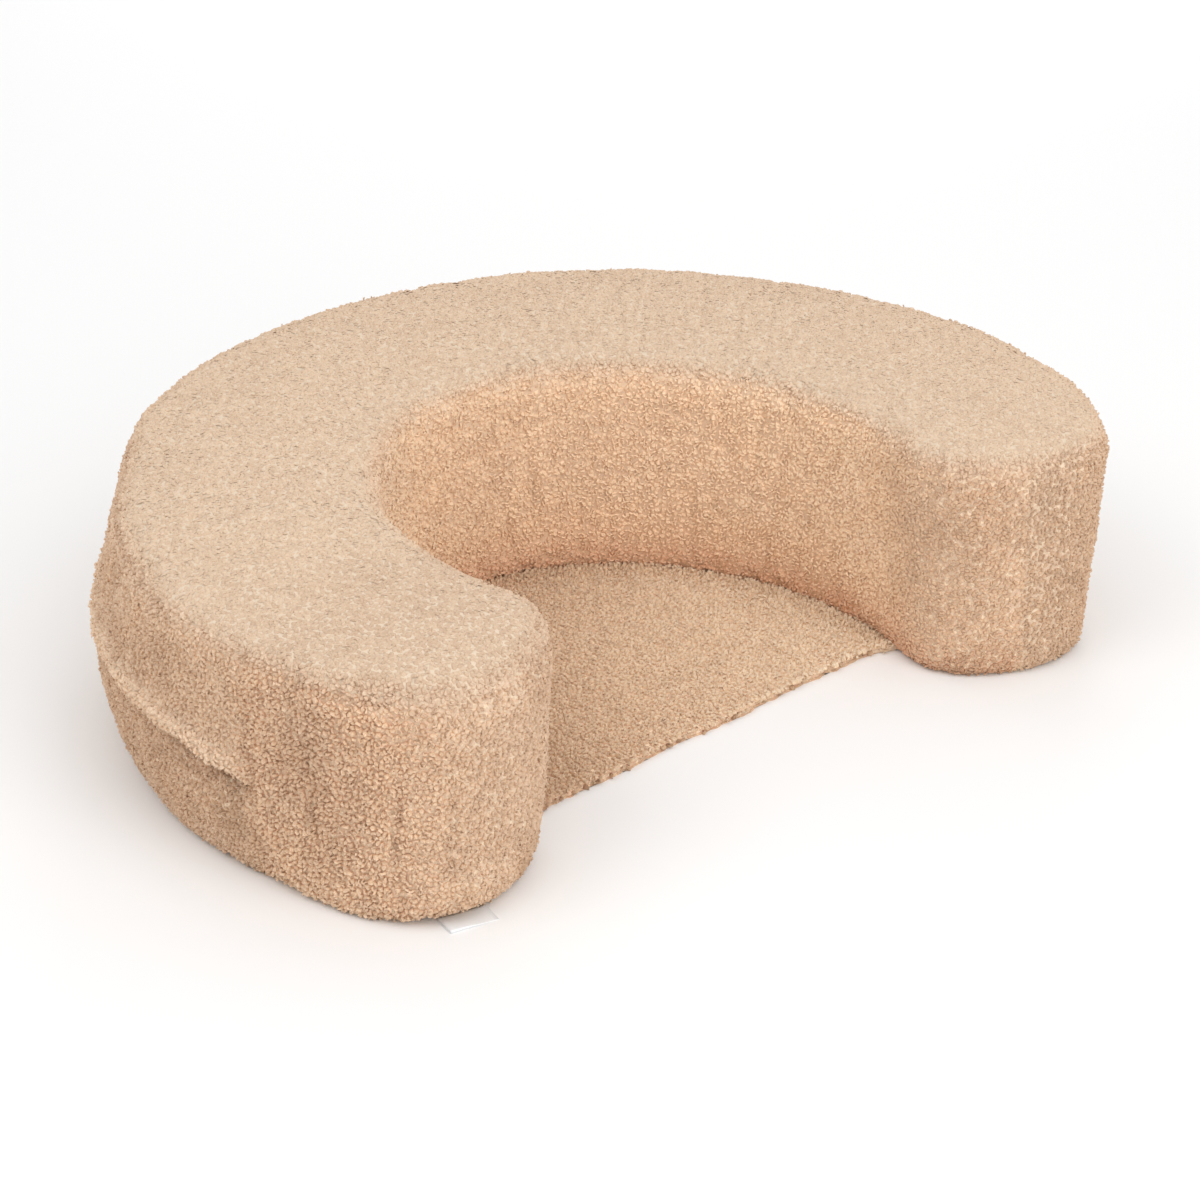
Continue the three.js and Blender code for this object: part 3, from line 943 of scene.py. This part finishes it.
def backing_cloth(on):
    """The lower, matted part of the pile, warmer with painted bounce light where its painted shade is
    pale, and even, like the top's painted sheen, where it is calm
    """
    colours = settings().colours
    where = on.add("ShaderNodeTexCoord")
    fuzz = on.add("ShaderNodeTexNoise", {"Vector": (where, "Object"), "Scale": 420.0, "Detail": 2.0})
    shades = ramp(on, (fuzz, "Fac"), (
        (0.36, colours.root),
        (0.5, colours.backing),
        (0.62, colours.middle),
    ))
    shade = on.add("ShaderNodeAttribute", attribute_name="shade")
    calm = on.add("ShaderNodeAttribute", attribute_name="calm")
    # Painted bounce light: warmer where the painted shade is pale
    warmth = ramp(on, (shade, "Fac"), ((0.5, (0, 0, 0)), (1.0, (0.8, 0.8, 0.8))))
    warmed = mixed(on, warmth, shades, (*colours.warm_backing, 1))
    even = (*[0.88 * c for c in colours.brushed_sheen], 1)
    lift = on.add("ShaderNodeBump", {"Height": (fuzz, "Fac"), "Strength": 0.5, "Distance": 0.8 * MM})
    return {
        "Base Color": mixed(on, (calm, "Fac"), warmed, even),
        "Normal": (lift, 0),
        "Roughness": 0.95,
        "Specular IOR Level": 0.15,
    }


def woven_tape(on):
    """Smooth white tape with a fine satin weave"""
    tape = settings().colours.tape
    where = on.add("ShaderNodeTexCoord")
    threads = {"Vector": (where, "Object"), "Scale": 700.0, "Distortion": 0.4}
    weave = on.add("ShaderNodeTexWave", threads, wave_type="BANDS", bands_direction="DIAGONAL")
    lift = on.add("ShaderNodeBump", {"Height": (weave, 0), "Strength": 0.25, "Distance": 0.1 * MM})
    return {
        "Base Color": ramp(on, (weave, 0), ((0.0, [0.9 * c for c in tape]), (1.0, tape))),
        "Normal": (lift, 0),
        "Roughness": 0.42,
        "Sheen Weight": 0.15,
    }


def plain_matt(on, rgb):
    return {"Base Color": (*rgb, 1), "Roughness": 0.9, "Specular IOR Level": 0.1}


class PILLOW_OT_ring(bpy.types.Operator):
    """Makes the ring's filled cover and the pile on it"""

    bl_idname = "pillow.ring"
    bl_label = "Ring Cushion"

    def execute(self, context):
        cover = ring_cover()
        painted(cover, ring_look)
        tree, finish = pile_tree(), material("curly_pile", curly_pile)
        for name, chosen in in_panels(cover).items():
            with_pile(cloth_cut(cover, name, chosen), tree, finish)
        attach(cover, "root")
        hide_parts("ring_cushion")
        return {"FINISHED"}


def thinned(mat):
    """The mat's solid without its pile, with its rim under the ring's foot"""
    sizes = settings().mat
    points, out = coordinates(mat.data), normals(mat.data)
    rim = np.hypot(out[:, 0], out[:, 1]) > 0.3
    front = rim & (out[:, 1] < 0) & (Plan(points).to_inner < AT_RING)
    sideways = out * (1, 1, 0)
    sideways /= np.maximum(np.linalg.norm(sideways, axis=1, keepdims=True), 1e-6)
    drawn_in = sizes.front_pile * (1 + 0.5 * np.clip(points[:, 0] / MAT_HIGH.x, 0, 1))
    points += sideways * np.where(front, -drawn_in, np.where(rim, sizes.under_ring, 0))[:, None]
    points[:, 2] *= sizes.cloth / (MAT_HIGH.z - MAT_LOW.z)
    set_coordinates(mat.data, points)


def in_squares(mat):
    """Cuts the mat into squares, and its front strip finely enough for its tufts"""
    sizes = settings().mat
    shape = bmesh.new()
    shape.from_mesh(mat.data)
    for axis in (0, 1):
        across = Vector((1 - axis, axis, 0))
        for place in np.arange(MAT_LOW[axis] + sizes.grid, MAT_HIGH[axis], sizes.grid):
            parts = shape.verts[:] + shape.edges[:] + shape.faces[:]
            bmesh.ops.bisect_plane(shape, geom=parts, plane_co=across * place, plane_no=across)
    for place in np.arange(MAT_LOW.x, MAT_HIGH.x, sizes.tuft / 2):
        faces = [face for face in shape.faces if face.calc_center_median().y < MAT_LOW.y + sizes.front]
        parts = dict.fromkeys(part for face in faces for part in (*face.verts, *face.edges, face))
        bmesh.ops.bisect_plane(shape, geom=list(parts), plane_co=(place, 0, 0), plane_no=(1, 0, 0))
    shape.to_mesh(mat.data)
    shape.free()


def mat_cloth():
    """The mat's cloth, with slow waves and a tufted front edge"""
    sizes = settings().mat
    mat = merged_copy("seat_mat", "seat_mat_cloth")
    thinned(mat)
    in_squares(mat)
    points, out = coordinates(mat.data), normals(mat.data)
    inland = rising(Plan(points).to_inner, 0.96, 0.86)
    upper = points[:, 2] > sizes.cloth / 2
    points[:, 2] += sizes.waves * slow_noise(points, **WAVES["mat_height"]) * inland * upper
    front = (out[:, 1] < -0.3) & (points[:, 1] < MAT_LOW.y + sizes.front)
    tufts = slow_noise(points * (1, 0, 0), wavelength=1.6 * sizes.tuft, seed=7)
    points[:, 1] -= sizes.tuft_reach * tufts * front * inland
    set_coordinates(mat.data, points)
    return mat


class PILLOW_OT_mat(bpy.types.Operator):
    """Makes the flat seat mat between the arms, with its pile"""

    bl_idname = "pillow.mat"
    bl_label = "Seat Mat"

    def execute(self, context):
        mat = mat_cloth()
        painted(mat, seat_look)
        upper = vectors(mat.data.polygons, "normal")[:, 2] > -0.5
        finish = material("mat_pile", curly_pile, tint=settings().colours.mat_light_tint)
        nap = with_pile(cloth_cut(mat, "pile_mat", upper), bpy.data.node_groups["curly_pile"], finish)
        mat.data.materials.clear()
        mat.data.materials.append(material("backing_cloth", backing_cloth))
        mat.data.shade_flat()
        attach(mat, "root")
        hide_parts("seat_mat")
        return {"FINISHED"}


# Steps of the label's tape across, along each layer and round its fold
TAPE_STEPS = 8


def folded_tape():
    """A tape folded once, its two layers apart at the left side"""
    sizes = settings().label
    shape = bmesh.new()
    bmesh.ops.create_grid(shape, x_segments=TAPE_STEPS, y_segments=TAPE_STEPS, size=0.5)
    bmesh.ops.scale(shape, vec=(sizes.width, sizes.length, 1), verts=shape.verts)
    bmesh.ops.translate(shape, vec=(0, sizes.length / 2, 0), verts=shape.verts)
    front = [vert for vert in shape.verts if abs(vert.co.y) < 0.01 * MM]
    edges = [edge for edge in shape.edges if all(vert in front for vert in edge.verts)]
    over = {"cent": (0, 0, sizes.fold), "axis": (-1, 0, 0), "angle": math.pi, "steps": TAPE_STEPS}
    turned = bmesh.ops.spin(shape, geom=edges + front, **over)["geom_last"]
    for _ in range(TAPE_STEPS):
        edges = [part for part in turned if isinstance(part, bmesh.types.BMEdge)]
        turned = bmesh.ops.extrude_edge_only(shape, edges=edges)["geom"]
        row = [part for part in turned if isinstance(part, bmesh.types.BMVert)]
        bmesh.ops.translate(shape, vec=(0, sizes.length / TAPE_STEPS, 0), verts=row)
    for vert in shape.verts:
        across, back = vert.co.x / sizes.width + 0.5, max(vert.co.y, 0) / sizes.length
        open_share = max(1 - 1.7 * across, 0) ** 0.8 * max(1 - 0.75 * back, 0)
        vert.co.z *= sizes.pressed + (1 - sizes.pressed) * open_share
        vert.co.z += 0.3 * MM * math.sin(5 * across + 2 * back) * (vert.co.z > 0.2 * MM)
    bmesh.ops.recalc_face_normals(shape, faces=shape.faces)
    bmesh.ops.solidify(shape, geom=shape.faces, thickness=sizes.layer)
    low = min(vert.co.z for vert in shape.verts)
    place = Vector((sizes.front_x, sizes.front_y, 0.05 * MM - low))
    bmesh.ops.rotate(shape, matrix=Matrix.Rotation(sizes.turn, 3, "Z"), verts=shape.verts)
    bmesh.ops.translate(shape, vec=place, verts=shape.verts)
    return new_piece("folded_label", mesh_from(shape, "folded_label"))


class PILLOW_OT_label(bpy.types.Operator):
    """Makes the bare folded label that comes out under the left arm"""

    bl_idname = "pillow.label"
    bl_label = "Side Label"

    def execute(self, context):
        label = folded_tape()
        label.data.materials.append(material("woven_tape", woven_tape))
        label.data.shade_smooth()
        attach(label, "root")
        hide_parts("side_label")
        return {"FINISHED"}


# Large soft lights round the ring, with azimuth 0 in front of it, and the point that they face
SOFT_LIGHTS = (
    {"name": "front_low", "azimuth": 0, "elevation": 20, "watts": 12.5},
    {"name": "front_high", "azimuth": 0, "elevation": 50, "watts": 12.5},
    {"name": "back_right", "azimuth": 135, "elevation": 20, "watts": 12},
    {"name": "back", "azimuth": 180, "elevation": 50, "watts": 3},
    {"name": "left", "azimuth": 270, "elevation": 50, "watts": 11},
    {"name": "front_left", "azimuth": 315, "elevation": 50, "watts": 5.5},
)
LIT_POINT = Vector((0, 0.05, 0.1))


def direction(azimuth, elevation):
    """The way to a place that is seen from the origin at these angles, with azimuth 0 towards -Y"""
    flat = math.cos(elevation)
    return Vector((math.sin(azimuth) * flat, -math.cos(azimuth) * flat, math.sin(elevation)))


def soft_light(name, azimuth, elevation, watts):
    studio = settings().studio
    lamp = bpy.data.lights.new(name, "AREA")
    lamp.shape = "DISK"
    lamp.size = studio.light_size
    lamp.energy = watts * studio.light
    held = bpy.data.objects.new(name, lamp)
    way = direction(math.radians(azimuth), math.radians(elevation))
    held.location = LIT_POINT + way * studio.light_distance
    held.rotation_euler = (-way).to_track_quat("-Z", "Y").to_euler()
    bpy.context.scene.collection.objects.link(held)


class PILLOW_OT_studio(bpy.types.Operator):
    """Makes the pale floor, the soft light and the camera"""

    bl_idname = "pillow.studio"
    bl_label = "Studio"

    def execute(self, context):
        studio = settings().studio
        shape = bmesh.new()
        bmesh.ops.create_grid(shape, x_segments=1, y_segments=1, size=12.0)
        floor = new_piece("floor", mesh_from(shape, "floor"))
        floor.data.materials.append(material("pale_floor", plain_matt, rgb=studio.floor))

        world = bpy.data.worlds.new("pale_room")
        world.use_nodes = True
        room = world.node_tree.nodes["Background"]
        room.inputs["Color"].default_value = (1, 1, 1, 1)
        room.inputs["Strength"].default_value = studio.room
        context.scene.world = world
        for light in SOFT_LIGHTS:
            soft_light(**light)

        lens = bpy.data.cameras.new("camera")
        lens.lens = studio.lens
        lens.sensor_width = 36
        camera = bpy.data.objects.new("camera", lens)
        back = direction(studio.azimuth, studio.elevation)
        camera.location = Vector((studio.target_x, studio.target_y, 0)) + back * studio.distance
        camera.rotation_euler = (-back).to_track_quat("-Z", "Y").to_euler()
        context.scene.collection.objects.link(camera)
        context.scene.camera = camera
        context.scene.view_settings.view_transform = "Standard"
        return {"FINISHED"}


class RingPillowSettings(bpy.types.PropertyGroup):
    """Every size and colour of the pillow and its studio"""

    ring: PointerProperty(type=RingSizes)
    pile: PointerProperty(type=PileSizes)
    colours: PointerProperty(type=ClothColours)
    mat: PointerProperty(type=MatSizes)
    label: PointerProperty(type=LabelSizes)
    studio: PointerProperty(type=StudioSizes)


OPERATORS = (PILLOW_OT_studio, PILLOW_OT_ring, PILLOW_OT_mat, PILLOW_OT_label)


class PILLOW_PT_panel(bpy.types.Panel):
    """Lists the pillow's pieces"""

    bl_label = "Ring Pillow"
    bl_idname = "PILLOW_PT_panel"
    bl_space_type = "VIEW_3D"
    bl_region_type = "UI"
    bl_category = "Ring Pillow"

    def draw(self, context):
        for operator in OPERATORS:
            self.layout.operator(operator.bl_idname)


SIZES = (RingSizes, PileSizes, ClothColours, MatSizes, LabelSizes, StudioSizes)
CLASSES = (*SIZES, RingPillowSettings, *OPERATORS, PILLOW_PT_panel)


def register():
    for kind in CLASSES:
        bpy.utils.register_class(kind)
    bpy.types.Scene.ring_pillow = PointerProperty(type=RingPillowSettings)


def unregister():
    del bpy.types.Scene.ring_pillow
    for kind in reversed(CLASSES):
        bpy.utils.unregister_class(kind)


def main():
    register()
    bpy.ops.pillow.studio()
    bpy.ops.pillow.ring()
    bpy.ops.pillow.mat()
    bpy.ops.pillow.label()


if __name__ == "__main__":
    main()
